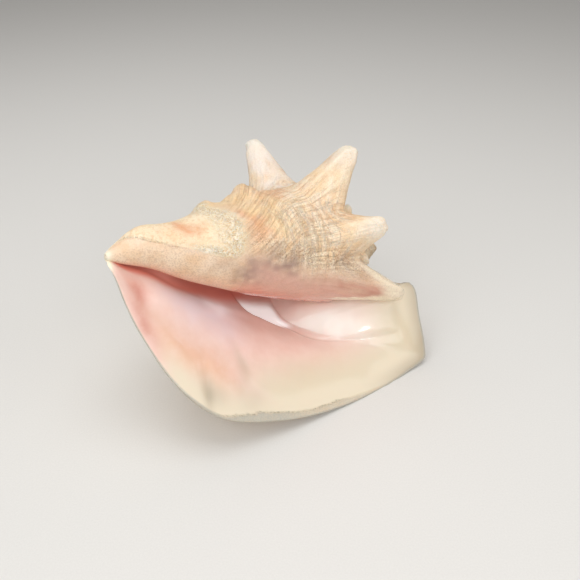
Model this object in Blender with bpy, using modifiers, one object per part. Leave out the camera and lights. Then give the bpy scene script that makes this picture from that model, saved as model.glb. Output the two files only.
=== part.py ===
"""Conch shell: one rolled wall that winds out from the apex, carries blunt spines on its
shoulder and opens into a wide flared lip. It lies on its lip and one spine of the far side."""

import math

import bmesh
import bpy
import numpy as np
from mathutils import Euler, Matrix

MM = 0.001

# Size of the whorl, in millimetres and degrees. The axis runs from the canal tip (x = 0) to the apex.
LENGTH = 225.0
TURN_RATIO = 1.55
FIRST_TURN = -125.0
FLARE_TURN = 240.0
CORE_OVERLAP = 30.0
SPIRE_TURNS = 5
SHOULDER_TURNS = (0.0, 60.0, 120.0, 180.0, 240.0)
SHOULDER_RADII = (43.0, 46.5, 50.0, 53.5, 57.5)
SHOULDER_DROPS = (62.0, 68.0, 73.0, 77.0, 80.0)

# Line of the wall from the suture (row 0) over the shoulder (row 0.2) to the canal tip (row 1).
ROW_STATIONS = (0.0, 0.07, 0.14, 0.20, 0.27, 0.40, 0.55, 0.70, 0.83, 0.93, 1.0)
RAMP_LINE = ((0.0, 0.0), (0.52, 0.36), (0.86, 0.82))
BODY_LINE = ((1.0, 1.0), (0.93, 0.985), (0.79, 0.905), (0.61, 0.765),
             (0.42, 0.551), (0.25, 0.361), (0.10, 0.202), (0.0, 0.030))
NECK_RISE, NECK_PLACE, NECK_REACH = 3.6, 27.0, 19.0

# Free edge of the lip: row, then the point on the edge.
LIP_EDGE = (
    (0.00, 207.0, -28.0, 22.0),
    (0.035, 219.2, -33.0, 29.0),
    (0.055, 224.2, -32.6, 31.5),
    (0.11, 227.0, -56.3, 34.0),
    (0.165, 230.1, -80.2, 34.0),
    (0.185, 230.4, -86.0, 33.4),
    (0.23, 212.1, -96.3, 30.2),
    (0.33, 174.9, -108.2, 27.0),
    (0.44, 132.9, -114.3, 23.0),
    (0.55, 93.5, -112.6, 20.0),
    (0.63, 66.6, -107.0, 17.0),
    (0.72, 43.8, -90.0, 13.0),
    (0.84, 21.8, -56.5, 8.0),
    (0.93, 9.8, -27.6, 5.0),
    (0.975, 5.0, -10.2, 3.0),
    (1.00, 1.4, -1.3, 1.0),
)

# Thickness of the wall, and of the rounded lip.
WALL = 3.2
FLARE_WALL = 2.6
LIP_WALL = 3.6

# Spines of the last turn: turn, height, lean toward the apex, half width along the turn,
# half width along the wall, hollow of the flank, bluntness.
SPINES = (
    (-41, 42.5, 64, 22, 23, 1.5, 0.64),
    (9, 26, 23, 18.5, 22, 1.55, 0.57),
    (62, 37, 27.5, 25, 26, 1.8, 0.56),
    (120, 58, -3, 24, 35, 1.85, 0.61),
    (160, 48, 4, 31, 31, 1.8, 0.64),
    (205, 44, 8, 29, 28, 1.7, 0.66),
)
SPIRE_SPINES = (-128, -172, -215, -258, -300, -341, -382, -422, -462, -502, -542)
SPIRE_SPINE = (9.2, 10.2, 12.0, 13.3, 1.4, 0.70)

# Low lumps of the back of the neck: place on the axis, angle, height, half length, half width.
LUMPS = (
    (23, 84, 2.2, 12, 12),
    (76, 106, 5.6, 7.5, 10),
    (100, 95, 4.7, 9, 10),
    (105, 91, 5.2, 6, 10),
)

# Mesh: lines on the wall, size of the cells that fuse its turns, and triangles in the end.
ROWS = 90
LAST_TURN_LINES = 150
FLARE_LINES = 60
TURN_STEP = 3.0
CELL = 1.3
TRIANGLES = 9900

# Pose at rest, on two places of the lip and one spine of the far side, with a little worn off each.
REST_TURN = (57.75, 16.47, 31.70)
WORN = 1.2


def smooth(knots, values, at):
    """Smooth curve through values at the knots."""
    k = np.asarray(knots, float)
    y = np.asarray(values, float)
    at = np.clip(np.asarray(at, float), k[0], k[-1])
    flat = y.reshape(len(k), -1)
    step = np.diff(k)[:, None]
    rise = np.diff(flat, axis=0) / step
    slope = np.empty_like(flat)
    slope[0] = rise[0]
    slope[-1] = rise[-1]
    slope[1:-1] = (rise[:-1] * step[1:] + rise[1:] * step[:-1]) / (step[1:] + step[:-1])
    i = np.clip(np.searchsorted(k, at.ravel(), side="right") - 1, 0, len(k) - 2)
    h = step[i]
    t = (at.ravel() - k[i])[:, None] / h
    out = (2 * t**3 - 3 * t**2 + 1) * flat[i] + (t**3 - 2 * t**2 + t) * h * slope[i]
    out += (3 * t**2 - 2 * t**3) * flat[i + 1] + (t**3 - t**2) * h * slope[i + 1]
    return out.reshape(at.shape + y.shape[1:])


def shoulder(turn):
    """Place on the axis and radius of the shoulder."""
    turn = np.asarray(turn, float)
    early = TURN_RATIO ** (np.minimum(turn, 0) / 360)
    knots = (-60.0,) + SHOULDER_TURNS
    back = TURN_RATIO ** (-60 / 360)
    late = np.maximum(turn, -60)
    late_radius = smooth(knots, (SHOULDER_RADII[0] * back,) + SHOULDER_RADII, late)
    late_drop = smooth(knots, (SHOULDER_DROPS[0] * back,) + SHOULDER_DROPS, late)
    radius = np.where(turn < 0, SHOULDER_RADII[0] * early, late_radius)
    drop = np.where(turn < 0, SHOULDER_DROPS[0] * early, late_drop)
    return LENGTH - drop, radius


def whorl(turns, rows):
    """Points of the round wall, one line of rows for each turn angle."""
    turns = np.asarray(turns, float)
    place, radius = shoulder(turns)
    old_place, old_radius = shoulder(turns - 360)
    first = shoulder(FIRST_TURN)[0]
    body = np.where(turns < FIRST_TURN, first * TURN_RATIO ** ((turns - FIRST_TURN) / 360), place)
    suture = old_place - 0.012 * body
    suture_radius = 0.975 * old_radius
    keys = []
    for a, b in RAMP_LINE:
        keys.append((suture + a * (place - suture), suture_radius + b * (radius - suture_radius)))
    for s, f in BODY_LINE:
        keys.append((place - body * (1 - s), radius * f))
    line = smooth(ROW_STATIONS, np.transpose(np.array(keys), (0, 2, 1)), rows)
    x = line[..., 0].T
    r = line[..., 1].T
    angle = np.radians(turns)[:, None]
    y = r * np.sin(angle) + NECK_RISE * np.exp(-(((x - NECK_PLACE) / NECK_REACH) ** 2))
    return np.stack([x, y, r * np.cos(angle)], -1)


def flare(rows, steps):
    """Points of the lip, from the end of the round wall out to the free edge."""
    edge = np.array(LIP_EDGE)
    end = smooth(edge[:, 0], edge[:, 1:], rows)
    start = whorl([FLARE_TURN], rows)[0]
    leave = start - whorl([FLARE_TURN - 2.0], rows)[0]
    leave /= np.linalg.norm(leave, axis=1, keepdims=True)
    span = end - start
    reach = np.linalg.norm(span, axis=1, keepdims=True)
    arrive = span * (1, 1, 0)
    arrive /= np.linalg.norm(arrive, axis=1, keepdims=True)
    arrive = arrive + np.array([0, 0, 0.05])
    u = np.asarray(steps)[:, None, None]
    out = (2 * u**3 - 3 * u**2 + 1) * start + (3 * u**2 - 2 * u**3) * end
    out += (u**3 - 2 * u**2 + u) * leave * np.minimum(0.75 * reach, 70)
    return out + (u**3 - u**2) * arrive * 0.8 * reach


def spine_shift(points, turns):
    """How far the spines push the wall out."""
    spines = list(SPINES)
    height, lean, wide, tall, hollow, blunt = SPIRE_SPINE
    for turn in SPIRE_SPINES:
        k = TURN_RATIO ** (turn / 360)
        spines.append((turn, height * k, lean, wide * k, tall * k, hollow, blunt))
    axis = np.array([1.0, 0.0, 0.0])
    move = np.zeros_like(points)
    for turn, height, lean, wide, tall, hollow, blunt in spines:
        place, radius = shoulder(turn)
        a = math.radians(turn)
        out = np.array([0.0, math.sin(a), math.cos(a)])
        along = np.array([0.0, math.cos(a), -math.sin(a)])
        q = points - (axis * place + out * radius)
        far = (q @ along / wide) ** 2 + ((q @ axis) ** 2 + (q @ out) ** 2) / tall**2
        f = np.clip(1 - np.sqrt(far), 0, 1) ** hollow / blunt
        f = f / (1 + f**8) ** 0.125
        f = np.where(np.abs(turns - turn)[:, None] < 80, f, 0)
        tilt = math.radians(lean)
        move += (height * f)[..., None] * (math.cos(tilt) * out + math.sin(tilt) * axis)
    return move


def lump_shift(points, turns):
    """How far the low lumps of the neck push the wall out."""
    angle = np.radians(turns)[:, None]
    out = np.stack([np.zeros_like(angle), np.sin(angle), np.cos(angle)], -1)
    on_neck = ((turns > -20) & (turns < FLARE_TURN))[:, None]
    move = np.zeros_like(points)
    for place, lump_angle, height, length, width in LUMPS:
        radius = np.hypot(points[..., 1], points[..., 2])
        side = radius * (angle - math.radians(lump_angle)) / width
        f = np.exp(-(((points[..., 0] - place) / length) ** 2) - side**2)
        move += (height * np.where(on_neck, f, 0))[..., None] * out
    return move


def wall_normals(points):
    """Unit normals of a grid of points, out of the shell."""
    n = np.cross(np.gradient(points, axis=0), np.gradient(points, axis=1))
    return n / (np.linalg.norm(n, axis=-1, keepdims=True) + 1e-9)


def grid_faces(a, b, first=0, turned=False):
    """Faces of a grid of a by b points."""
    faces = []
    for i in range(a - 1):
        for j in range(b - 1):
            q = first + i * b + j
            face = (q, q + 1, q + b + 1, q + b)
            faces.append(face[::-1] if turned else face)
    return faces


def rolled_wall():
    """The last turn and its lip as one closed sheet with thickness."""
    turns = np.linspace(-CORE_OVERLAP, FLARE_TURN, LAST_TURN_LINES)
    rows = np.linspace(0, 1, ROWS)
    steps = np.linspace(0, 1, FLARE_LINES + 1)[1:]
    base = np.concatenate([whorl(turns, rows), flare(rows, steps)])
    thick = np.concatenate([np.full(len(turns), WALL),
                            smooth((0, 0.35, 0.8, 1), (WALL, FLARE_WALL, FLARE_WALL, LIP_WALL), steps)])
    index = np.concatenate([turns, np.full(len(steps), 1000.0)])
    inner = base - wall_normals(base) * thick[:, None, None]
    outer = base + spine_shift(base, index) + lump_shift(base, index)
    a, b = base.shape[:2]
    points = np.concatenate([outer.reshape(-1, 3), inner.reshape(-1, 3)])
    faces = grid_faces(a, b) + grid_faces(a, b, a * b, True)
    rim = [(i, 0) for i in range(a)] + [(a - 1, j) for j in range(1, b)]
    rim += [(i, b - 1) for i in range(a - 2, -1, -1)] + [(0, j) for j in range(b - 2, 0, -1)]
    for (i, j), (k, m) in zip(rim, rim[1:] + rim[:1]):
        p, q = i * b + j, k * b + m
        faces.append((p, q, q + a * b, p + a * b))
    return points, faces


def inner_turns():
    """The turns under the last one, closed at the axis."""
    turns = np.arange(-360.0 * SPIRE_TURNS, TURN_STEP / 2, TURN_STEP)
    rows = np.linspace(0, 1, ROWS)
    wall = whorl(turns, rows)
    wall = wall + spine_shift(wall, turns)
    on_axis = wall[:, [-1, 0]] * (1, 0, 0)
    loops = np.concatenate([wall, on_axis], 1)
    a, b = loops.shape[:2]
    points = loops.reshape(-1, 3)
    faces = []
    for i in range(a - 1):
        for j in range(b):
            p, q = i * b + j, i * b + (j + 1) % b
            faces.append((p, q, q + b, p + b))
    faces.append(tuple(range(b))[::-1])
    faces.append(tuple(range((a - 1) * b, a * b)))
    return points, faces


def clear_scene():
    """Removes what is in the scene."""
    for thing in list(bpy.data.objects):
        bpy.data.objects.remove(thing, do_unlink=True)


def shell_material():
    """Pink and cream shell, half matte."""
    mat = bpy.data.materials.new("Pink nacreous shell")
    mat.use_nodes = True
    skin = mat.node_tree.nodes["Principled BSDF"]
    skin.inputs["Base Color"].default_value = (0.76, 0.56, 0.45, 1)
    skin.inputs["Roughness"].default_value = 0.35
    skin.inputs["Metallic"].default_value = 0.0
    return mat


def keep_largest(mesh):
    """Fills the small closed pockets, so that one body is left."""
    bm = bmesh.new()
    bm.from_mesh(mesh)
    left = set(bm.verts)
    bodies = []
    while left:
        body = {left.pop()}
        front = list(body)
        while front:
            point = front.pop()
            new = {e.other_vert(point) for e in point.link_edges} & left
            left.difference_update(new)
            body.update(new)
            front.extend(new)
        bodies.append(body)
    largest = max(bodies, key=len)
    bmesh.ops.delete(bm, geom=[v for v in bm.verts if v not in largest], context="VERTS")
    bm.to_mesh(mesh)
    bm.free()


def lay_down(mesh):
    """Turns the shell to its pose at rest and wears its contact points flat on the ground."""
    mesh.transform(Euler([math.radians(a) for a in REST_TURN]).to_matrix().to_4x4())
    low = [min(v.co[i] for v in mesh.vertices) for i in range(3)]
    high = [max(v.co[i] for v in mesh.vertices) for i in range(3)]
    ground = low[2] + WORN * MM
    mesh.transform(Matrix.Translation((-(low[0] + high[0]) / 2, -(low[1] + high[1]) / 2, -ground)))
    bm = bmesh.new()
    bm.from_mesh(mesh)
    cut = bmesh.ops.bisect_plane(bm, geom=bm.verts[:] + bm.edges[:] + bm.faces[:], dist=1e-7,
                                 plane_co=(0, 0, 0), plane_no=(0, 0, 1), clear_inner=True)
    edges = [g for g in cut["geom_cut"] if isinstance(g, bmesh.types.BMEdge)]
    bmesh.ops.edgeloop_fill(bm, edges=edges)
    bmesh.ops.recalc_face_normals(bm, faces=bm.faces[:])
    bm.to_mesh(mesh)
    bm.free()


def main():
    """Makes the shell."""
    clear_scene()
    home = bpy.data.collections.new("Conch shell")
    bpy.context.scene.collection.children.link(home)
    points, faces = rolled_wall()
    more_points, more_faces = inner_turns()
    faces = faces + [tuple(v + len(points) for v in face) for face in more_faces]
    points = np.concatenate([points, more_points]) * MM
    mesh = bpy.data.meshes.new("shell")
    mesh.from_pydata(points.tolist(), [], faces)
    shell = bpy.data.objects.new("shell", mesh)
    home.objects.link(shell)
    fuse = shell.modifiers.new("Fuse", "REMESH")
    fuse.mode = "VOXEL"
    fuse.voxel_size = CELL * MM
    depsgraph = bpy.context.evaluated_depsgraph_get()
    fused = bpy.data.meshes.new_from_object(shell.evaluated_get(depsgraph))
    keep_largest(fused)
    shell.data = fused
    shell.modifiers.clear()
    thin = shell.modifiers.new("Thin", "DECIMATE")
    thin.ratio = TRIANGLES / (2 * len(fused.polygons))
    thinned = bpy.data.meshes.new_from_object(shell.evaluated_get(bpy.context.evaluated_depsgraph_get()))
    shell.modifiers.clear()
    shell.data = thinned
    lay_down(thinned)
    thinned.name = "shell"
    thinned.shade_smooth()
    thinned.materials.append(shell_material())


main()
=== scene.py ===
import math

import bmesh
import bpy
import numpy as np
from mathutils import Euler, Matrix, Vector, noise


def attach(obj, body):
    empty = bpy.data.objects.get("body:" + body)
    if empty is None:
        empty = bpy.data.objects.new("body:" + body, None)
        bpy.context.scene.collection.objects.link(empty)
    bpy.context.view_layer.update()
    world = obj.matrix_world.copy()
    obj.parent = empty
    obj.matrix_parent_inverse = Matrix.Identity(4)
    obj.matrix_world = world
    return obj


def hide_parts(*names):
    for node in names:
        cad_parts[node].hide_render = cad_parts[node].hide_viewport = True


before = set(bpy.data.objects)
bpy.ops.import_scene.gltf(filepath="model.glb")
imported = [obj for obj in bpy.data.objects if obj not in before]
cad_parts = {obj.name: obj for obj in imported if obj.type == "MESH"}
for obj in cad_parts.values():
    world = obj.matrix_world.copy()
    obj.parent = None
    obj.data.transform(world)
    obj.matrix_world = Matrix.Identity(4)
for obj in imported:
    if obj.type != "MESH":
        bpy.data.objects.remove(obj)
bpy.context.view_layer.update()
bpy.ops.object.select_all(action="DESELECT")

# Winding of the wall
# A conch shell is one wall of aragonite that the snail lays down at the lip, so every place on it
# has a turn angle and a row, from the suture over the shoulder to the canal tip. Sizes in mm.
LENGTH = 225.0
TURN_RATIO = 1.55
FIRST_TURN = -125.0
FLARE_TURN = 240.0
SHOULDER_TURNS = (-60.0, 0.0, 60.0, 120.0, 180.0, 240.0)
SHOULDER_RADII = (39.97, 43.0, 46.5, 50.0, 53.5, 57.5)
SHOULDER_DROPS = (57.63, 62.0, 68.0, 73.0, 77.0, 80.0)
ROW_STATIONS = (0.0, 0.07, 0.14, 0.20, 0.27, 0.40, 0.55, 0.70, 0.83, 0.93, 1.0)
RAMP_LINE = ((0.0, 0.0), (0.52, 0.36), (0.86, 0.82))
BODY_LINE = ((1.0, 1.0), (0.93, 0.985), (0.79, 0.905), (0.61, 0.765),
             (0.42, 0.551), (0.25, 0.361), (0.10, 0.202), (0.0, 0.030))
SUTURE_SINK, SUTURE_IN = 0.012, 0.975
NECK_RISE, NECK_PLACE, NECK_REACH = 3.6, 27.0, 19.0


def smooth(knots, values, at):
    """Smooth curve through values at the knots."""
    k = np.asarray(knots, float)
    y = np.asarray(values, float)
    at = np.clip(np.asarray(at, float), k[0], k[-1])
    flat = y.reshape(len(k), -1)
    step = np.diff(k)[:, None]
    rise = np.diff(flat, axis=0) / step
    slope = np.empty_like(flat)
    slope[0] = rise[0]
    slope[-1] = rise[-1]
    slope[1:-1] = (rise[:-1] * step[1:] + rise[1:] * step[:-1]) / (step[1:] + step[:-1])
    i = np.clip(np.searchsorted(k, at.ravel(), side="right") - 1, 0, len(k) - 2)
    h = step[i]
    t = (at.ravel() - k[i])[:, None] / h
    out = (2 * t**3 - 3 * t**2 + 1) * flat[i] + (t**3 - 2 * t**2 + t) * h * slope[i]
    out += (3 * t**2 - 2 * t**3) * flat[i + 1] + (t**3 - t**2) * h * slope[i + 1]
    return out.reshape(at.shape + y.shape[1:])


def shoulder(turn):
    """Place on the axis and radius of the shoulder."""
    turn = np.asarray(turn, float)
    early = TURN_RATIO ** (np.minimum(turn, 0) / 360)
    late_radius = smooth(SHOULDER_TURNS, SHOULDER_RADII, turn)
    late_drop = smooth(SHOULDER_TURNS, SHOULDER_DROPS, turn)
    radius = np.where(turn < 0, SHOULDER_RADII[1] * early, late_radius)
    drop = np.where(turn < 0, SHOULDER_DROPS[1] * early, late_drop)
    return LENGTH - drop, radius


def whorl(turns, rows):
    """Points of the round wall, one line of rows for each turn angle."""
    turns = np.asarray(turns, float)
    place, radius = shoulder(turns)
    old_place, old_radius = shoulder(turns - 360)
    first = shoulder(FIRST_TURN)[0]
    body = np.where(turns < FIRST_TURN, first * TURN_RATIO ** ((turns - FIRST_TURN) / 360), place)
    suture = old_place - SUTURE_SINK * body
    suture_radius = SUTURE_IN * old_radius
    keys = []
    for a, b in RAMP_LINE:
        keys.append((suture + a * (place - suture), suture_radius + b * (radius - suture_radius)))
    for s, f in BODY_LINE:
        keys.append((place - body * (1 - s), radius * f))
    line = smooth(ROW_STATIONS, np.transpose(np.array(keys), (0, 2, 1)), rows)
    x = line[..., 0].T
    r = line[..., 1].T
    angle = np.radians(turns)[:, None]
    y = r * np.sin(angle) + NECK_RISE * np.exp(-(((x - NECK_PLACE) / NECK_REACH) ** 2))
    return np.stack([x, y, r * np.cos(angle)], -1)


# Flared lip
# The grown snail turns its wall out into a wide wing. Its free edge runs from the corner beside the
# spire, round the front, to the tip of the canal, and it is a little thicker than the wing.
LIP_EDGE = (
    # Row, and where the edge of the lip is there.
    (0.00, 207.0, -28.0, 22.0),
    (0.035, 219.2, -33.0, 29.0),
    (0.055, 224.2, -32.6, 31.5),
    (0.11, 227.0, -56.3, 34.0),
    (0.165, 230.1, -80.2, 34.0),
    (0.185, 230.4, -86.0, 33.4),
    (0.23, 212.1, -96.3, 30.2),
    (0.33, 174.9, -108.2, 27.0),
    (0.44, 132.9, -114.3, 23.0),
    (0.55, 93.5, -112.6, 20.0),
    (0.63, 66.6, -107.0, 17.0),
    (0.72, 43.8, -90.0, 13.0),
    (0.84, 21.8, -56.5, 8.0),
    (0.93, 9.8, -27.6, 5.0),
    (0.975, 5.0, -10.2, 3.0),
    (1.00, 1.4, -1.3, 1.0),
)
WALL, FLARE_WALL, LIP_WALL = 3.2, 2.6, 3.6
LEAVE_PULL, LEAVE_MOST, ARRIVE_PULL, ARRIVE_RISE = 0.75, 70.0, 0.8, 0.05


def flare(rows, steps):
    """Points of the lip, from the end of the round wall out to the free edge."""
    edge = np.array(LIP_EDGE)
    end = smooth(edge[:, 0], edge[:, 1:], rows)
    start = whorl([FLARE_TURN], rows)[0]
    leave = start - whorl([FLARE_TURN - 2.0], rows)[0]
    leave /= np.linalg.norm(leave, axis=1, keepdims=True)
    span = end - start
    reach = np.linalg.norm(span, axis=1, keepdims=True)
    arrive = span * (1, 1, 0)
    arrive /= np.linalg.norm(arrive, axis=1, keepdims=True)
    arrive = arrive + np.array([0, 0, ARRIVE_RISE])
    u = np.asarray(steps)[:, None, None]
    out = (2 * u**3 - 3 * u**2 + 1) * start + (3 * u**2 - 2 * u**3) * end
    out += (u**3 - 2 * u**2 + u) * leave * np.minimum(LEAVE_PULL * reach, LEAVE_MOST)
    return out + (u**3 - u**2) * arrive * ARRIVE_PULL * reach


# Spines
# Blunt hollow knobs that the mantle pushes out of the shoulder a few times in each turn, so the
# growth lines run up over them. Old ones have worn, rough ends.
SPINES = (
    # Turn, height, lean, width, reach along the wall, how hollow the flank and how blunt the end is.
    (-41, 42.5, 64, 22, 23, 1.5, 0.64),
    (9, 26, 23, 18.5, 22, 1.55, 0.57),
    (62, 37, 27.5, 25, 26, 1.8, 0.56),
    (120, 58, -3, 24, 35, 1.85, 0.61),
    (160, 48, 4, 31, 31, 1.8, 0.64),
    (205, 44, 8, 29, 28, 1.7, 0.66),
)
SPIRE_SPINES = (-128, -172, -215, -258, -300, -341, -382, -422, -462, -502, -542)
SPIRE_SPINE = (9.2, 10.2, 12.0, 13.3, 1.4, 0.70)
SPINE_SPAN, SPINE_CROWN = 80.0, 8


def spine_shift(points, turns):
    """How far the spines push the wall out, and how near a place is to a spine's end."""
    spines = list(SPINES)
    height, lean, wide, tall, hollow, blunt = SPIRE_SPINE
    for turn in SPIRE_SPINES:
        k = TURN_RATIO ** (turn / 360)
        spines.append((turn, height * k, lean, wide * k, tall * k, hollow, blunt))
    axis = np.array([1.0, 0.0, 0.0])
    move = np.zeros_like(points)
    ends = np.zeros(points.shape[:2])
    for turn, height, lean, wide, tall, hollow, blunt in spines:
        place, radius = shoulder(turn)
        a = math.radians(turn)
        out = np.array([0.0, math.sin(a), math.cos(a)])
        along = np.array([0.0, math.cos(a), -math.sin(a)])
        q = points - (axis * place + out * radius)
        far = (q @ along / wide) ** 2 + ((q @ axis) ** 2 + (q @ out) ** 2) / tall**2
        f = np.clip(1 - np.sqrt(far), 0, 1) ** hollow / blunt
        f = f / (1 + f**SPINE_CROWN) ** (1 / SPINE_CROWN)
        f = np.where(np.abs(turns - turn)[:, None] < SPINE_SPAN, f, 0)
        tilt = math.radians(lean)
        move += (height * f)[..., None] * (math.cos(tilt) * out + math.sin(tilt) * axis)
        ends = np.maximum(ends, f)
    return move, ends


# Growth relief of the outside
# Growth lines follow the old places of the lip, and cords run round the whorl across them. The
# neck carries a thick raised plate of wrinkled shell and a few low lumps, older than the last lip.
LUMPS = (
    # Place on the axis, angle, height, length and width.
    (23, 84, 2.2, 12, 12),
    (76, 106, 5.6, 7.5, 10),
    (100, 95, 4.7, 9, 10),
    (105, 91, 5.2, 6, 10),
)
LUMP_TURNS = (-60.0, 0.0)
ROW_MM = 165.0
LEAN_ROWS, LEAN_MM = (0.0, 0.32, 0.424, 0.554, 0.66, 1.0), (0, 0, 4, 35, 60, 95)
PLATE_TOP_TURNS = (-30, 6, 39, 55, 79, 93, 140, 200)
PLATE_TOP_ROWS = (0.70, 0.619, 0.614, 0.625, 0.648, 0.640, 0.65, 0.68)
PLATE_LOW_ROWS = (0.60, 0.66, 0.72, 0.80, 0.842, 0.887, 0.925, 0.96)
PLATE_LOW_TURNS = (4.0, -10.0, -6.0, 8.0, 13.0, 23.0, 50.0, 90.0)
PLATE_END = (170.0, 235.0)
# Millimetres from one to the next, and how deep each is.
RIDGE_STEP, LINE_STEP, FAN_STEP, FAN_LINE_STEP, CORD_STEP, SCALLOP_STEP = 8.0, 2.4, 7.0, 2.9, 6.4, 8.5
RIDGE_DEPTH, LINE_DEPTH, FAN_DEPTH, CORD_DEPTH, SCALLOP_DEPTH = 0.55, 0.30, 0.36, 0.80, 1.5


def ease(low, high, at):
    """Rises smoothly from 0 at low to 1 at high."""
    t = np.clip((np.asarray(at, float) - low) / (high - low), 0, 1)
    return t * t * (3 - 2 * t)


def grain(*coords):
    """Smooth noise from -1 to 1 at these coordinates, one unit to a lump."""
    grids = np.broadcast_arrays(*coords)
    places = np.zeros((grids[0].size, 3))
    for i, values in enumerate(grids):
        places[:, i] = values.ravel()
    return np.array([noise.noise(p) for p in places.tolist()]).reshape(grids[0].shape)


def lumpy(points, size):
    """Smooth noise from -1 to 1 over these points, with lumps of this size."""
    return grain(*(points[..., i] / size for i in range(3)))


def hump(at, middle, reach):
    """Rises smoothly to 1 at the middle, within about this reach of it."""
    return np.exp(-(((at - middle) / reach) ** 2))


def lump_shift(points, turns):
    """How far the low lumps of the neck push the wall out."""
    angle = np.radians(turns)[:, None]
    out = np.stack([np.zeros_like(angle), np.sin(angle), np.cos(angle)], -1)
    on_neck = (ease(*LUMP_TURNS, turns) * (turns < FLARE_TURN))[:, None]
    move = np.zeros_like(points)
    for place, lump_angle, height, length, width in LUMPS:
        radius = np.hypot(points[..., 1], points[..., 2])
        side = radius * (angle - math.radians(lump_angle)) / width
        f = np.exp(-(((points[..., 0] - place) / length) ** 2) - side**2)
        move += (height * on_neck * f)[..., None] * out
    return move


def growth(turn, row, on_lip):
    """Millimetres of growth of a place, so that growth lines are its level lines."""
    return turn + smooth(LEAN_ROWS, LEAN_MM, row) * (1 - ease(0, 0.8, on_lip))


def plate_inset(turn, row):
    """Millimetres in from the edge of the raised plate of the neck, below 0 beside it."""
    top = smooth(PLATE_TOP_TURNS, PLATE_TOP_ROWS, turn)
    low = smooth(PLATE_LOW_ROWS, PLATE_LOW_TURNS, row)
    return np.minimum(150 * (row - top), 0.75 * (turn - low))


def grown_lines(points, turn, row, on_lip):
    """Height of the growth ridges, growth lines and spiral cords."""
    g = growth(turn, row, on_lip)
    mm = ROW_MM * row
    size = np.clip(np.linalg.norm(points[..., 1:], axis=-1) / 45, 0.15, 1)
    lined = size * (1 - 0.92 * ease(0.58, 0.66, row) * (1 - ease(0.02, 0.3, on_lip)))
    ridges = 0.45 - 1.6 * np.abs(grain(g / RIDGE_STEP + 3, mm / 60))
    lines = grain(g / LINE_STEP, mm / 35 + 9)
    # On the fan beside the neck the ridges are sharper, and fine lines run between them.
    fan = hump(g, 80, 30) * ease(0.25, 0.33, row) * (1 - ease(0.54, 0.62, row)) * (turn > 0)
    bent = g + 2.2 * grain(g / 26, mm / 16)
    fan_ridges = 1.2 - 2.2 * np.abs(np.cos(np.pi * bent / FAN_STEP)) ** 6
    fan_ridges -= np.abs(np.cos(np.pi * bent / FAN_LINE_STEP + 1)) ** 6
    # The cords are clearest between the shoulder and the glazed front.
    cord = ease(-0.5, 0.9, np.cos(2 * np.pi * (mm + 1.5 * grain(g / 40, mm / 40)) / CORD_STEP))
    cord_zone = ease(0.205, 0.24, row) * (1 - ease(0.50, 0.60, row))
    cord_zone = cord_zone * (0.35 + 0.65 * (1 - ease(30, 62, turn)) * ease(-60, -45, turn))
    uneven = 0.6 + 0.6 * lumpy(points, 16)
    fine = lined * (RIDGE_DEPTH * ridges + LINE_DEPTH * lines + FAN_DEPTH * fan * fan_ridges)
    return fine + lined * CORD_DEPTH * cord_zone * uneven * (cord - 0.4), lined, size


def outer_relief(points, turn, row, on_lip, ends):
    """Height of the growth lines, cords, plate and roughness over the plain wall."""
    x = points[..., 0]
    round_wall = on_lip == 0
    fine, lined, size = grown_lines(points, turn, row, on_lip)
    rough = lumpy(points, 3.1)
    coarse = lumpy(points, 9)
    height = fine + (0.45 * coarse + 0.2 * rough) * lined
    # The raised plate of the neck is thick and wrinkled toward its edge, and pitted along its seam.
    inset = plate_inset(turn, row) + 3.0 * coarse + 1.4 * rough
    plate = ease(-2.5, 4.0, inset) * (1 - ease(*PLATE_END, turn)) * (1 - on_lip)
    band = plate * (1 - ease(5, 14, inset)) * (1 - ease(0.74, 0.80, row))
    height += plate * (0.3 + 1.0 * (1 - ease(0.64, 0.80, row)))
    height += band * (0.40 * rough + 0.42 * lumpy(points, 1.6))
    seam = hump(inset, 0, 2.4) * ease(0.80, 0.85, row) * (1 - ease(0.93, 0.96, row))
    height += seam * (1.3 * lumpy(points, 2.6) - 0.2)
    # Behind the plate the shoulder is scalloped, and a low rib runs up the side of the front spine.
    scallops = hump(turn, 95, 16) * ease(82, 88, x) * (1 - ease(122, 130, x)) * round_wall
    height += SCALLOP_DEPTH * scallops * (np.abs(np.cos(np.pi * (x + 0.1 * turn) / SCALLOP_STEP)) - 0.5)
    height += 1.6 * hump(turn, -19, 5) * hump(row, 0.205, 0.03) * round_wall
    worn = ease(0.60, 0.95, ends)
    height += worn * size * (1.5 * lumpy(points + (42, 0, 0), 6) + 0.9 * lumpy(points, 2.4))
    fade = 1 - 0.5 * ease(0.6, 1, on_lip)
    return height * fade, fine * fade


# Inside of the lip
# The inside is glazed smooth by the mantle. It has a roll along the shoulder, a step where the last
# layer of glaze ends inside the mouth, two soft folds, and a wavy margin short of the edge.
STEP_WAYS, STEP_ROWS = (215, 231, 244, 255, 265), (0.445, 0.429, 0.398, 0.331, 0.29)
GROOVE_WAYS, GROOVE_ROWS = (240, 265, 287, 302, 325, 350), (0.285, 0.253, 0.236, 0.185, 0.152, 0.14)
MARGIN_ROWS = (0.0, 0.30, 0.381, 0.454, 0.556, 0.652, 0.72, 1.0)
MARGIN_PLACES = (1.02, 0.985, 0.945, 0.955, 0.93, 0.99, 1.02, 1.02)
STEP_HEIGHT, GROOVE_DEPTH, FOLD_DEPTH, SMALL_FOLD_DEPTH, MARGIN_DROP = 1.3, 1.1, 0.9, 0.6, 0.5
# The way of a place is its turn, and on the lip it goes on for another 120 out to the free edge.
LIP_WAY = 120.0


def step_line(way):
    """Row of the step where the last layer of glaze ends inside the mouth."""
    return smooth(STEP_WAYS, STEP_ROWS, way)


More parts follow.
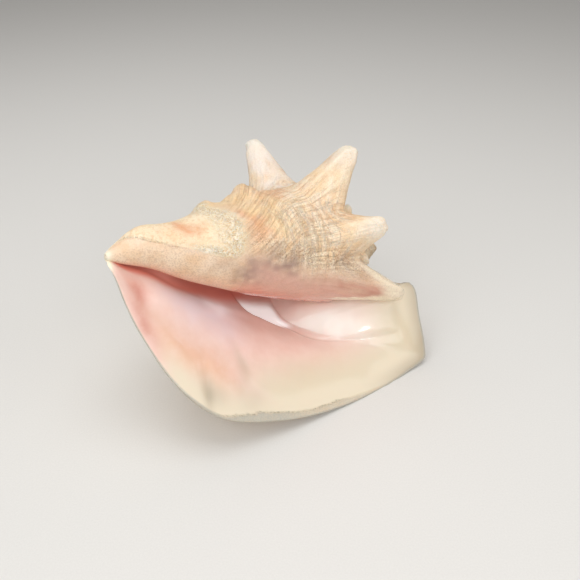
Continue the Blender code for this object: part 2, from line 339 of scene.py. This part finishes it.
def inner_relief(points, turn, row, on_lip):
    """Height of the glazed inside over the plain wall."""
    way = turn + LIP_WAY * on_lip
    x, y, z = (points[..., i] for i in range(3))
    past = row - step_line(way)
    step = ease(0, 0.010, past) * (1 - ease(0.01, 0.16, past))
    step = STEP_HEIGHT * step * ease(205, 232, way) * (1 - ease(250, 270, way))
    groove = hump(row, smooth(GROOVE_WAYS, GROOVE_ROWS, way), 0.011)
    groove = GROOVE_DEPTH * groove * ease(244, 262, way) * (1 - ease(320, 350, way))
    fold = FOLD_DEPTH * hump(row, 0.674 - 0.03 * (on_lip - 0.8), 0.018) * ease(0.35, 0.85, on_lip)
    fold += SMALL_FOLD_DEPTH * hump(row, 0.571 + 0.02 * (on_lip - 0.54), 0.024) * ease(0.25, 0.5, on_lip)
    wave = 0.3 * grain(x / 26, y / 26, z / 26 + 5) + 0.08 * lumpy(points, 9)
    return step - groove - fold * (1 - 0.5 * ease(0.85, 1, on_lip)) + wave


def glaze_margin(row):
    """Where on the lip the glaze ends, as a part of the way to the free edge."""
    waver = 0.012 * grain(row * 60, row * 0) + 0.006 * grain(row * 170, row * 0 + 4)
    return smooth(MARGIN_ROWS, MARGIN_PLACES, row) + waver


# Sheet of the last turn and the lip
# One sheet, folded at the free edge: the outside forward to the lip, round the rounded rim, and the
# inside back into the mouth. It starts as a flat grid whose points are set on the wall.
TURNS = np.linspace(-260.0, FLARE_TURN, 334)
STEPS = np.linspace(0, 1, 91)[1:]
ROWS = np.linspace(0, 1, 134)
RIM = 4
# The lines of the inside are wider apart the deeper they lie in the mouth.
FREE_EDGE, WALL_END, DEEP_MOUTH = len(TURNS) + len(STEPS) - 1, len(TURNS) - 1, 239
INSIDE_LINES = [*range(FREE_EDGE, WALL_END - 1, -1), *range(WALL_END - 2, DEEP_MOUTH, -2),
                *range(DEEP_MOUTH, 0, -20), 0]


def wall_normals(points):
    """Unit normals of a grid of points, out of the shell."""
    n = np.cross(np.gradient(points, axis=0), np.gradient(points, axis=1))
    return n / (np.linalg.norm(n, axis=-1, keepdims=True) + 1e-9)


turn_of = np.concatenate([TURNS, np.full(len(STEPS), FLARE_TURN)])
lip_of = np.concatenate([np.zeros(len(TURNS)), STEPS])
turn_grid, row_grid = np.meshgrid(turn_of, ROWS, indexing="ij")
lip_grid = np.broadcast_to(lip_of[:, None], turn_grid.shape)
base = np.concatenate([whorl(TURNS, ROWS), flare(ROWS, STEPS)])
base_normals = wall_normals(base)
thick = np.concatenate([np.full(len(TURNS), WALL),
                        smooth((0, 0.35, 0.8, 1), (WALL, FLARE_WALL, FLARE_WALL, LIP_WALL), STEPS)])
thick = thick[:, None] * (1 - 0.5 * ease(0.66, 0.80, row_grid) * ease(0.5, 1.0, lip_grid))
# No spine or lump stands on the lip, so its lines are given a turn far from all of them.
spine_turn = np.where(lip_of > 0, 1000.0, turn_of)
move, ends = spine_shift(base, spine_turn)
outer = base + move + lump_shift(base, spine_turn)
height, fine = outer_relief(outer, turn_grid, row_grid, lip_grid, ends)
outer = outer + wall_normals(outer) * height[..., None]
inner = base - base_normals * thick[..., None]
inner = inner - base_normals * inner_relief(base, turn_grid, row_grid, lip_grid)[..., None]
bare = ease(0, 0.006, lip_grid - glaze_margin(row_grid))
inner = inner + base_normals * (MARGIN_DROP * bare)[..., None]

count_j = len(ROWS)
outward = outer[-1] - base[-2]
outward /= np.linalg.norm(outward, axis=1, keepdims=True)
middle = (outer[-1] + inner[-1]) / 2
half = (outer[-1] - inner[-1]) / 2
half_length = np.linalg.norm(half, axis=1, keepdims=True)
chips = 0.4 * grain(ROWS * 90, ROWS * 0) + 0.8 * grain(ROWS * 22, ROWS * 0 + 2)
lines = [outer]
places = [np.stack([turn_grid, row_grid, lip_grid, 0 * lip_grid, ends, fine], -1)]
for k in range(1, RIM + 1):
    a = math.pi * k / (RIM + 1)
    bulge = math.sin(a) * (0.8 * half_length + 0.5 * chips[:, None]) * outward
    lines.append((middle + math.cos(a) * half + bulge)[None])
    side = np.full(count_j, k / (RIM + 1.0))
    places.append(np.stack([turn_grid[-1], ROWS, lip_grid[-1], side, 0 * ROWS, 0 * ROWS], -1)[None])
lines.append(inner[INSIDE_LINES])
inside = np.stack([turn_grid, row_grid, lip_grid, 0 * lip_grid + 1, 0 * ends, 0 * ends], -1)
places.append(inside[INSIDE_LINES])
sheet_points = np.concatenate(lines)
sheet_places = np.concatenate(places)


def shaped_grid(name, points):
    """A flat grid added as a primitive, with its points set on this grid of places in mm."""
    bpy.ops.object.select_all(action="DESELECT")
    bpy.ops.mesh.primitive_grid_add(x_subdivisions=points.shape[1] - 1,
                                    y_subdivisions=points.shape[0] - 1, size=1)
    piece = bpy.context.object
    piece.name = name
    piece.data.vertices.foreach_set("co", (points * 0.001).ravel())
    return piece


def close_faces(piece, loops):
    """Adds a face over each loop of points."""
    bm = bmesh.new()
    bm.from_mesh(piece.data)
    bm.verts.ensure_lookup_table()
    for loop in loops:
        bm.faces.new([bm.verts[i] for i in loop])
    bm.to_mesh(piece.data)
    bm.free()


shell = shaped_grid("conch_shell", sheet_points)
inside_start = FREE_EDGE + RIM + 1
last = count_j - 1
loops = [[i * count_j + j for i in range(FREE_EDGE, inside_start + 1)] for j in (0, last)]
for k in range(len(INSIDE_LINES) - 1):
    over = range(INSIDE_LINES[k + 1], INSIDE_LINES[k] + 1)
    under = (inside_start + k, inside_start + k + 1)
    for j in (0, last):
        loops.append([i * count_j + j for i in (*over, *under)])
end_line = inside_start + len(INSIDE_LINES) - 1
for j in range(last):
    loops.append([j, j + 1, end_line * count_j + j + 1, end_line * count_j + j])
close_faces(shell, loops)

# Spire
# The small old turns stand on top of the last one as a low stepped cone with a spine at every step.
# Only their ramps show, so each line of the wall is closed at the axis.
SPIRE_TURNS = np.concatenate([np.linspace(-2400, -1110, 130), np.linspace(-1100, -565, 108),
                              np.linspace(-560, -260, 121)])
SPIRE_ROWS = ROWS[:41]

spire_turn, spire_row = np.meshgrid(SPIRE_TURNS, SPIRE_ROWS, indexing="ij")
spire = whorl(SPIRE_TURNS, SPIRE_ROWS)
move, spire_ends = spine_shift(spire, SPIRE_TURNS)
spire = spire + move
height, fine = outer_relief(spire, spire_turn, spire_row, 0 * spire_row, spire_ends)
spire = spire + wall_normals(spire) * height[..., None]
spire_places = np.stack([spire_turn, spire_row, 0 * spire_row, 0 * spire_row, spire_ends, fine], -1)
on_axis = spire[:, [-1, 0]] * (1, 0, 0)
spire_points = np.concatenate([spire, on_axis, spire[:, :1]], 1)
spire_places = np.concatenate([spire_places, spire_places[:, [-1, 0, 0]]], 1)
spire_piece = shaped_grid("spire", spire_points)
spire_columns = spire_points.shape[1]
spire_last = spire_points.shape[0] - 1
close_faces(spire_piece, [list(range(spire_columns - 1)),
                          [spire_last * spire_columns + j for j in range(spire_columns - 1)]])

# One shell, at rest
# The turns are one piece of shell. It lies on two worn places of the lip and one worn spine of the
# far side, so whatever would reach under the ground is rubbed flat.
REST_TURN = (57.75, 16.47, 31.70)
REST_PLACE = (-107.364, -60.941, 122.840)
TIP_ROUND, TIP_LENGTH, TIP_WIDTH = 0.003, 0.0075, 0.010


def name_places(piece, places):
    """Keeps each point's turn, row, part of the way to the lip's edge, side, spine end and relief."""
    for i, name in enumerate(("turn", "row", "lip", "side", "ends", "fine")):
        values = piece.data.attributes.new(name, "FLOAT", "POINT")
        values.data.foreach_set("value", places[..., i].ravel().astype(np.float32))


name_places(shell, sheet_places)
name_places(spire_piece, spire_places)
bpy.ops.object.select_all(action="DESELECT")
spire_piece.select_set(True)
shell.select_set(True)
bpy.context.view_layer.objects.active = shell
bpy.ops.object.join()
bpy.ops.object.mode_set(mode="EDIT")
bpy.ops.mesh.select_all(action="SELECT")
bpy.ops.mesh.remove_doubles(threshold=1e-6)
bpy.ops.mesh.select_all(action="DESELECT")
bpy.ops.object.mode_set(mode="OBJECT")
# The last 3 mm of the canal tip are worn to a round end.
for vertex in shell.data.vertices:
    past = 1 - vertex.co.x / TIP_ROUND
    if past > 0:
        vertex.co.yz = vertex.co.yz * math.sqrt(max(0.02, 1 - past**2))
    vertex.select = vertex.co.x < TIP_LENGTH and vertex.co.yz.length < TIP_WIDTH
bpy.ops.object.mode_set(mode="EDIT")
bpy.ops.mesh.vertices_smooth(factor=0.5, repeat=12)
bpy.ops.mesh.select_all(action="SELECT")
bpy.ops.mesh.normals_make_consistent(inside=False)
bpy.ops.object.mode_set(mode="OBJECT")
lie = Matrix.Translation(Vector(REST_PLACE) * 0.001)
shell.data.transform(lie @ Euler([math.radians(a) for a in REST_TURN]).to_matrix().to_4x4())
points = np.empty(3 * len(shell.data.vertices))
shell.data.vertices.foreach_get("co", points)
points = points.reshape(-1, 3)
points[:, 2] = np.maximum(points[:, 2], 0)
shell.data.vertices.foreach_set("co", points.ravel())
shell.data.update()
shell.data.shade_smooth()


# Colours of the shell
# The colour is in the shell itself: cream and peach outside with tan growth bands, chalky where it
# is worn, and rose, salmon and cream glaze inside. Each field below is where one of them is strong,
# but a few are painted light and shade instead, each marked where it is made.
def read_place(name):
    """The shell's values of one of its places."""
    values = np.empty(len(shell.data.vertices), dtype=np.float32)
    shell.data.attributes[name].data.foreach_get("value", values)
    return values.astype(float)


names = ("turn", "row", "lip", "side", "ends", "fine")
turn, row, lip, side, ends, fine = (read_place(name) for name in names)
way = turn + LIP_WAY * lip
outside_share = 1 - side
points = 1000 * points


def field(name, values):
    """Keeps a field of the surface, from 0 to 1, for the material."""
    kept = shell.data.attributes.new(name, "FLOAT", "POINT")
    kept.data.foreach_set("value", np.clip(values, 0, 1).astype(np.float32))


cloud_14, cloud_9, cloud_4 = (lumpy(points, size) for size in (14, 9, 4))


def spots(*places):
    """Soft patches of the wall, uneven outside: each has its way, row, reach in both, and strength."""
    off_way = (1 - 0.85 * side) * (1.1 * cloud_9 + 0.4 * cloud_4)
    off_row = (1 - 0.65 * side) * 1.1 * cloud_14 + outside_share * 0.4 * cloud_4
    shares = np.zeros(len(way))
    for at_way, at_row, wide, tall, strength in places:
        far = ((way - at_way) / wide + off_way) ** 2 + ((row - at_row) / tall + off_row) ** 2
        shares += strength * np.exp(-far)
    return shares


# Where the front of the body is glazed: its border is a line of turns from row to row.
BORDER_ROWS = (0.20, 0.22, 0.28, 0.36, 0.45, 0.52, 0.58, 0.62, 0.66)
BORDER_TURNS = (-26, -25, -20, -15, -12, -5, 3, 4, 2)
border = smooth(BORDER_ROWS, BORDER_TURNS, row) + 4 * cloud_14 + 3 * cloud_4
past_border = border - turn
old_turns = ease(-90, -105, turn)
glazed_body = ease(-2, 22, past_border) * ease(0.185, 0.21, row) * (1 - ease(0.56, 0.74, row))
glazed_body = glazed_body * (1 - ease(0.02, 0.12, ends) * old_turns)
glazed_body = glazed_body * (1 - old_turns * (1 - ease(0.26, 0.34, row))) * (turn > TURNS[0] - 1)
low_neck = 0.45 * ease(0.56, 0.68, row) * (1 - ease(-1.5, 0.5, plate_inset(turn, row))) * (turn < 120)
horn_edge = 0.250 - 0.0011 * (turn + 40) + 0.006 * cloud_4
horn = ease(0.006, -0.006, row - horn_edge) * ease(-12, -20, turn) * ease(-72, -60, turn)
horn = horn * ease(0.08, 0.12, row)
outside_glaze = np.maximum(np.maximum(glazed_body, low_neck), 0.9 * horn) * (1 - ease(0, 0.1, lip))
past_margin = lip - glaze_margin(row)
margin = ease(0, 0.008, past_margin)
field("glaze", np.where(side > 0.9, 1 - 0.85 * margin, outside_glaze * (side < 0.05)))

# Colours of the inside and of the rim.
MOUTH_ROWS, MOUTH_WAYS = (0, 0.2, 0.3, 0.4, 0.45, 0.65, 0.83, 1), (222, 222, 223, 227, 232, 240, 255, 272)
rim = np.maximum(margin * (0.7 + 0.3 * ease(0.44, 0.52, row)), ease(0.984, 0.994, lip))
field("rim", np.where(side > 0.9, rim, ease(0.05, 0.2, side)))
edge_line = hump(past_margin, 0, 0.006) * ease(0.36, 0.40, row) * (1 - ease(0.60, 0.66, row))
field("edge_line", side * edge_line)
inside_rose = 1 - ease(-14, 5, way - smooth(MOUTH_ROWS, MOUTH_WAYS, row))
body_rose = ease(38, 85, past_border) * (turn < 100)
field("rose", side * inside_rose + outside_share * body_rose)
field("salmon", side * spots((296, 0.90, 24, 0.045, 1.0), (335, 0.86, 18, 0.05, 0.9)))
peach = side * spots((325, 0.78, 20, 0.07, 1.0), (322, 0.66, 22, 0.07, 0.9))
field("peach", peach + outside_share * spots((-38, 0.285, 13, 0.05, 1.0)))
lavender = spots((262, 0.72, 22, 0.12, 1.0), (248, 0.58, 16, 0.10, 0.9), (275, 0.58, 20, 0.08, 0.4))
white_spine = spots((114, 0.20, 26, 0.17, 1.0))
field("lilac", side * np.clip(lavender, 0, 1) + outside_share * white_spine)
# Painted light: a near-white patch behind the step, which lies in the shade of the body wall.
pale = ease(0.0, 0.012, step_line(way) - row) * ease(0.20, 0.26, row)
field("pale", side * pale * ease(220, 234, way) * (1 - ease(256, 268, way)))
# Painted light: the glaze along the shoulder is lightened where the body wall above shades it.
field("roll", side * spots((278, 0.125, 34, 0.08, 1.0)))
# Painted glow in the slit and on the lavender, where the mouth lies in shade.
field("slit_glow", side * spots((222, 0.80, 20, 0.07, 1.0)))
field("lit", side * np.clip(spots((248, 0.57, 13, 0.075, 1.0), (292, 0.86, 14, 0.05, 0.5)), 0, 1))
right_cream = ease(292, 334, way) * (1 - ease(0.50, 0.62, row))
left_cream = ease(314, 350, way) * (1 - ease(0.74, 0.84, row))
field("cream", side * np.maximum(right_cream, left_cream))
field("green", side * spots((340, 0.14, 16, 0.05, 0.8), (318, 0.40, 16, 0.08, 0.5)))
shade = spots((345, 0.672, 16, 0.012, 0.6), (308, 0.568, 14, 0.014, 0.48),
              (340, 0.66, 12, 0.035, 0.5), (338, 0.565, 14, 0.035, 0.4))
corner = 0.9 * ease(0.84, 1.0, lip) * (1 - ease(0.20, 0.34, row))
field("shade", side * np.clip(shade + corner, 0, 1))

# Colours of the outside.
field("pink", outside_share * ease(14, 34, past_border) * (1 - ease(0.50, 0.66, row)))
mauve = spots((-31, 0.62, 18, 0.09, 1.0), (-13, 0.51, 14, 0.07, 0.8), (-16, 0.26, 12, 0.05, 0.6))
field("mauve", outside_share * np.clip(mauve * (0.8 + 0.5 * cloud_4), 0, 1))
field("horn", outside_share * horn)
near_plate = plate_inset(turn, row) + 3.0 * cloud_9 + 1.6 * cloud_4
plate = ease(-3.0, 4.0, near_plate) * (1 - ease(*PLATE_END, turn))
field("plate", outside_share * plate)
field("band", outside_share * plate * (1 - ease(5, 16, near_plate)) * (1 - ease(0.74, 0.80, row)))
seam = hump(near_plate, 0, 2.8) * ease(0.79, 0.83, row) * (1 - ease(0.94, 0.97, row))
field("seam", outside_share * seam)
field("chalk", outside_share * np.clip(ease(0.45, 0.95, ends) + spots((1, 0.75, 8, 0.045, 0.8)), 0, 1))
orange = spots((45, 0.79, 20, 0.045, 1.0), (30, 0.58, 24, 0.05, 0.8), (70, 0.45, 20, 0.08, 0.5))
field("orange", outside_share * orange)
# Amber on the fan, and painted light on the knob, which faces away from the light.
field("amber_and_knob_light", outside_share * spots((52, 0.52, 32, 0.07, 1.0), (88, 0.62, 16, 0.05, 1.0)))
field("tan", outside_share * np.clip(0.5 + 0.8 * cloud_14, 0, 1) * (1 - ease(0.60, 0.68, row)))
speckle = hump(turn, border + 4, 12) * ease(0.20, 0.24, row) * (1 - ease(0.56, 0.62, row))
speckle = np.clip(speckle + 0.8 * low_neck * ease(-14, 4, past_border), 0, 1)
field("speckle", outside_share * (1 - horn) * speckle)
lined = outside_share * (1 - ease(0.58, 0.66, row)) * (1 - 0.5 * ease(0.1, 0.5, ends))
field("lined", lined)
field("lattice", lined * ease(0.21, 0.24, row) * (1 - ease(0.48, 0.56, row)) * (1 - ease(34, 62, turn)))
# Painted shade in the grooves of the relief, and painted light on its crests.
field("groove", outside_share * np.clip(-1.5 * fine, 0, 1))
field("crest_light", outside_share * np.clip(1.5 * fine, 0, 1))
field("tip", ease(0.972, 0.988, row))
# Growth and row in mm, for patterns that follow them, and the inside set apart from the outside.
grow = np.stack([growth(turn, row, lip), ROW_MM * row, 400 * side], -1)
kept = shell.data.attributes.new("grow", "FLOAT_VECTOR", "POINT")
kept.data.foreach_set("vector", grow.ravel().astype(np.float32))


def linear(code):
    """Linear colour of an sRGB hex value."""
    values = [int(code[i:i + 2], 16) / 255 for i in (0, 2, 4)]
    return tuple(v / 12.92 if v <= 0.04045 else ((v + 0.055) / 1.055) ** 2.4 for v in values) + (1,)


def add(tree, kind, settings=None, links=None):
    """Adds a node with its settings, and links its inputs to other nodes' outputs."""
    node = tree.nodes.new(kind)
    for name, value in (settings or {}).items():
        if isinstance(name, str) and name not in node.inputs:
            setattr(node, name, value)
        else:
            node.inputs[name].default_value = value
    for name, socket in (links or {}).items():
        tree.links.new(socket, node.inputs[name])
    return node


def coated(tree, colour, coats):
    """A colour under coats: each has a field, a pattern with its range, two strengths and a colour."""
    for place, pattern, low, high, least, most, code in coats:
        share = pattern
        if place:
            share = add(tree, "ShaderNodeAttribute", {"attribute_name": place}).outputs["Fac"]
        levels = {1: low, 2: high, 3: least, 4: most}
        seen = add(tree, "ShaderNodeMapRange", levels, {0: pattern or share}).outputs[0]
        if place and pattern:
            seen = add(tree, "ShaderNodeMath", {"operation": "MULTIPLY"}, {0: share, 1: seen}).outputs[0]
        under = {} if isinstance(colour, str) else {6: colour}
        settings = {"data_type": "RGBA", 7: linear(code)}
        if isinstance(colour, str):
            settings[6] = linear(colour)
        colour = add(tree, "ShaderNodeMix", settings, {0: seen, **under}).outputs[2]
    return colour


# Aragonite: dry, chalky and light-scattering outside, and inside polished like porcelain.
conch = bpy.data.materials.new("Conch shell, chalky outside and porcelain glaze inside")
conch.use_nodes = True
tree = conch.node_tree
tree.nodes.clear()
here = add(tree, "ShaderNodeTexCoord").outputs["Object"]
grown = add(tree, "ShaderNodeAttribute", {"attribute_name": "grow"}).outputs["Vector"]

# Grown patterns are in mm along the growth and across it: lines 3 mm apart, bands 8 mm, threads
# 3 mm. The others are per metre: grains of the shell are 0.3 mm, drawn as 1 mm so that they show.
pattern = {}
for name, source, scale, detail, distortion in (
    ("lines", grown, (0.32, 0.030, 0.05), 4, 0.0),
    ("bands", grown, (0.13, 0.020, 0.05), 3, 0.0),
    ("threads", grown, (0.035, 0.34, 0.05), 3, 0.0),
    ("wrinkles", here, (420, 420, 420), 3, 1.2),
    ("grit", here, (950, 950, 950), 4, 0.0),
    ("crumb", here, (430, 430, 430), 5, 0.3),
    ("blotch", here, (80, 80, 80), 4, 0.0),
    ("patches", here, (45, 45, 45), 5, 0.0),
):
    spread = add(tree, "ShaderNodeMapping", {"Scale": scale}, {"Vector": source}).outputs[0]
    settings = {"Scale": 1.0, "Detail": detail, "Roughness": 0.6, "Distortion": distortion}
    pattern[name] = add(tree, "ShaderNodeTexNoise", settings, {"Vector": spread}).outputs[0]
pits = add(tree, "ShaderNodeTexVoronoi", {"Scale": 520.0}, {"Vector": here}).outputs["Distance"]

# A thin line runs wherever one of these patterns crosses its middle.
for name, width in (("lines", 0.035), ("threads", 0.030), ("wrinkles", 0.050)):
    off = add(tree, "ShaderNodeMath", {"operation": "SUBTRACT", 1: 0.5}, {0: pattern[name]}).outputs[0]
    off = add(tree, "ShaderNodeMath", {"operation": "ABSOLUTE"}, {0: off}).outputs[0]
    pattern[name] = add(tree, "ShaderNodeMapRange", {1: 0.0, 2: width, 3: 1.0, 4: 0.0}, {0: off}).outputs[0]
grit, crumb, blotch, patches = (pattern[name] for name in ("grit", "crumb", "blotch", "patches"))

outside = coated(tree, "feebcd", (
    (None, blotch, 0.36, 0.66, 0.0, 1.0, "fad9ac"),
    ("lined", pattern["bands"], 0.46, 0.66, 0.0, 0.48, "ecc294"),
    ("tan", patches, 0.48, 0.62, 0.0, 0.50, "dcae86"),
    ("lined", crumb, 0.50, 0.62, 0.0, 0.30, "d8a97c"),
    ("lined", crumb, 0.46, 0.36, 0.0, 0.40, "fff0dc"),
    ("lined", pattern["lines"], 0, 1, 0.0, 0.16, "bd9678"),
    # Painted shade in the grooves and painted light on the crests.
    ("groove", None, 0, 1, 0.0, 0.42, "cf9f74"),
    ("crest_light", None, 0, 1, 0.0, 0.60, "fdeed8"),
    ("lattice", pattern["threads"], 0, 1, 0.0, 0.50, "f8eadb"),
    ("lilac", None, 0, 1, 0.0, 0.85, "f7ebe2"),
    ("mauve", None, 0, 1, 0.0, 0.72, "ae9080"),
    ("plate", blotch, 0.30, 0.65, 0.90, 0.50, "fdebcb"),
    ("plate", crumb, 0.50, 0.60, 0.0, 0.50, "ecc495"),
    ("orange", None, 0, 1, 0.0, 0.85, "e5a073"),
    ("band", None, 0, 1, 0.0, 0.70, "ffecc4"),
    ("band", grit, 0.46, 0.58, 0.0, 0.85, "fff8ea"),
    ("band", grit, 0.46, 0.38, 0.0, 0.60, "d0a56e"),
    ("band", pattern["wrinkles"], 0, 1, 0.0, 0.34, "cfa673"),
    ("speckle", grit, 0.48, 0.60, 0.0, 0.65, "b08a6c"),
    ("chalk", grit, 0.35, 0.60, 0.35, 0.95, "faf2e4"),
    # Amber on the fan, and painted light on the knob.
    ("amber_and_knob_light", None, 0, 1, 0.0, 0.55, "ffdca4"),
    ("seam", pits, 0.34, 0.08, 0.0, 1.0, "9c9178"),
    (None, grit, 0.44, 0.64, 0.0, 0.16, "cca684"),
))
body_glaze = coated(tree, "e4c1a8", (
    (None, blotch, 0.35, 0.68, 0.0, 1.0, "d2aa90"),
    ("mauve", None, 0, 1, 0.0, 0.95, "94736a"),
    ("pink", None, 0, 1, 0.0, 1.0, "dcab9a"),
    ("peach", None, 0, 1, 0.0, 0.90, "c68a76"),
    ("horn", None, 0, 1, 0.0, 1.0, "efdfc4"),
    ("rose", None, 0, 1, 0.0, 1.0, "e8927f"),
    ("speckle", grit, 0.48, 0.60, 0.0, 0.65, "9c7864"),
    (None, grit, 0.42, 0.66, 0.0, 0.25, "b08a76"),
))
inside_glaze = coated(tree, "f2d2c6", (
    (None, blotch, 0.35, 0.65, 0.0, 1.0, "eecabd"),
    ("lilac", None, 0, 1, 0.0, 1.0, "ecdade"),
    ("salmon", blotch, 0.30, 0.60, 0.70, 1.0, "d08c7b"),
    ("peach", blotch, 0.30, 0.60, 0.50, 1.0, "e8bb9e"),
    ("cream", None, 0, 1, 0.0, 1.0, "e3d5bc"),
    ("green", None, 0, 1, 0.0, 0.70, "d9c9ab"),
    # Painted light under the body wall.
    ("roll", None, 0, 1, 0.0, 1.0, "fff8f0"),
    ("rose", None, 0, 1, 0.0, 1.0, "f39c8c"),
    # Painted light on the patch behind the step.
    ("pale", None, 0, 1, 0.0, 1.0, "fbf7fc"),
    ("shade", None, 0, 1, 0.0, 0.85, "b5a68f"),
))
side_share = add(tree, "ShaderNodeAttribute", {"attribute_name": "side"}).outputs["Fac"]
glaze_share = add(tree, "ShaderNodeAttribute", {"attribute_name": "glaze"}).outputs["Fac"]
of_colours = {"data_type": "RGBA"}
glazed = add(tree, "ShaderNodeMix", of_colours, {0: side_share, 6: body_glaze, 7: inside_glaze}).outputs[2]
colour = add(tree, "ShaderNodeMix", of_colours, {0: glaze_share, 6: outside, 7: glazed}).outputs[2]
colour = coated(tree, colour, (
    ("rim", grit, 0.30, 0.70, 0.75, 1.0, "b6b2a6"),
    ("edge_line", crumb, 0.40, 0.58, 0.20, 1.0, "8f8470"),
    ("tip", None, 0, 1, 0.0, 1.0, "f6ead2"),
))

# Relief that is too fine for the mesh, in parts of its 0.7 mm depth, and none where it is glazed.
RELIEF_DEPTH = 0.0007
FINE_RELIEF = (
    ("lined", pattern["lines"], -0.40),
    ("lined", crumb, 0.7),
    ("lattice", pattern["threads"], 0.6),
    ("band", pattern["wrinkles"], -0.4),
    ("plate", crumb, 0.8),
    ("seam", pits, 2.5),
)
multiply, multiply_add = {"operation": "MULTIPLY"}, {"operation": "MULTIPLY_ADD"}
depth = grit
for place, relief, share in FINE_RELIEF:
    there = add(tree, "ShaderNodeAttribute", {"attribute_name": place}).outputs["Fac"]
    part = add(tree, "ShaderNodeMath", {**multiply, 1: share}, {0: there}).outputs[0]
    depth = add(tree, "ShaderNodeMath", multiply_add, {0: part, 1: relief, 2: depth}).outputs[0]
matt = add(tree, "ShaderNodeMapRange", {1: 0.0, 2: 1.0, 3: 1.0, 4: 0.03}, {0: glaze_share}).outputs[0]
bump = add(tree, "ShaderNodeBump", {"Distance": RELIEF_DEPTH}, {"Height": depth, "Strength": matt})

# Chalky outside and polished glaze, each a little uneven.
CHALK_ROUGH, GLAZE_ROUGH, UNEVEN_ROUGH = 0.72, 0.07, 0.05
levels = {1: 0.0, 2: 1.0, 3: CHALK_ROUGH, 4: GLAZE_ROUGH}
polish = add(tree, "ShaderNodeMapRange", levels, {0: glaze_share}).outputs[0]
uneven = {**multiply_add, 1: UNEVEN_ROUGH}
roughness = add(tree, "ShaderNodeMath", uneven, {0: blotch, 2: polish}).outputs[0]

# Painted light: a glow where the mouth lies in shade, in the slit, on the lavender and on the pale patch
# behind the step.
glow = coated(tree, "000000", (
    ("slit_glow", None, 0, 1, 0.0, 1.0, "6e4f46"),
    ("lit", None, 0, 1, 0.0, 1.0, "8e8a88"),
    ("pale", None, 0, 1, 0.0, 1.0, "a0a5a2"),
))
skin = add(tree, "ShaderNodeBsdfPrincipled",
           {"IOR": 1.56, "Subsurface Weight": 0.10, "Subsurface Scale": 0.004,
            "Subsurface Radius": (1.0, 0.5, 0.35), "Emission Strength": 1.0},
           {"Base Color": colour, "Roughness": roughness, "Normal": bump.outputs[0],
            "Emission Color": glow})
add(tree, "ShaderNodeOutputMaterial", None, {"Surface": skin.outputs[0]})
shell.data.materials.clear()
shell.data.materials.append(conch)

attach(shell, "root")
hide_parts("shell")

# Stage
# A plain pale floor of uncoated paper that the shell lies on, matt, with fibres that only just show:
# they are finer than 0.1 mm, and drawn about 1 mm. Soft light from above, and the camera of the view.
bpy.ops.object.select_all(action="DESELECT")
bpy.ops.mesh.primitive_plane_add(size=6, location=(0, 0, 0))
floor = bpy.context.object
floor.name = "floor"
paper = bpy.data.materials.new("Pale studio paper")
paper.use_nodes = True
tree = paper.node_tree
here = add(tree, "ShaderNodeTexCoord").outputs["Object"]
fibres = add(tree, "ShaderNodeTexNoise", {"Scale": 900.0, "Detail": 2.0}, {"Vector": here}).outputs[0]
sheet_colour = coated(tree, "dcdad6", ((None, fibres, 0.3, 0.7, 0.0, 1.0, "e0deda"),))
skin = tree.nodes["Principled BSDF"]
skin.inputs["Roughness"].default_value = 0.8
tree.links.new(sheet_colour, skin.inputs["Base Color"])
floor.data.materials.append(paper)

bpy.context.scene.view_settings.view_transform = "Standard"
world = bpy.data.worlds.new("Studio")
world.use_nodes = True
sky = world.node_tree.nodes["Background"]
sky.inputs["Color"].default_value = linear("f2f0ee")
sky.inputs["Strength"].default_value = 0.36
bpy.context.scene.world = world

# Large soft lamps for the light, and three small weak ones for the crisp highlights of the glaze.
# Each has its place and size in metres, and its watts, and shines at the middle of the shell.
LAMPS = (
    ("key", (0.20, -0.98, 0.70), (0.90, 0.70), 3.8),
    ("overhead", (0.00, -0.05, 1.20), (0.90, 0.70), 5.4),
    ("left", (-0.60, -0.65, 0.80), (0.80, 0.80), 2.6),
    ("right", (0.85, -0.40, 0.60), (0.70, 0.70), 1.6),
    ("back", (-0.45, 0.40, 1.00), (0.80, 0.50), 1.7),
    ("front", (0.27, -1.00, 0.50), (0.070, 0.014), 0.5),
    ("window", (-0.47, -0.55, 0.94), (0.035, 0.020), 0.25),
    ("side", (1.05, 0.05, 0.56), (0.030, 0.016), 0.12),
)
SHELL_MIDDLE = Vector((0, 0, 0.06))
for name, place, size, watts in LAMPS:
    lamp = bpy.data.lights.new(name, "AREA")
    lamp.shape = "RECTANGLE"
    lamp.size, lamp.size_y = size
    lamp.energy = watts
    box = bpy.data.objects.new(name, lamp)
    bpy.context.collection.objects.link(box)
    box.location = place
    box.rotation_euler = (SHELL_MIDDLE - Vector(place)).to_track_quat("-Z", "Y").to_euler()

CAMERA_PLACE, CAMERA_TURN, CAMERA_LENS = (0.006568, -0.389369, 0.333752), (54.423, 0.146, 0.001), 40.135
lens = bpy.data.cameras.new("camera")
lens.sensor_width = 36
lens.lens = CAMERA_LENS
camera = bpy.data.objects.new("camera", lens)
bpy.context.collection.objects.link(camera)
camera.location = CAMERA_PLACE
camera.rotation_euler = [math.radians(a) for a in CAMERA_TURN]
bpy.context.scene.camera = camera

bpy.context.view_layer.update()
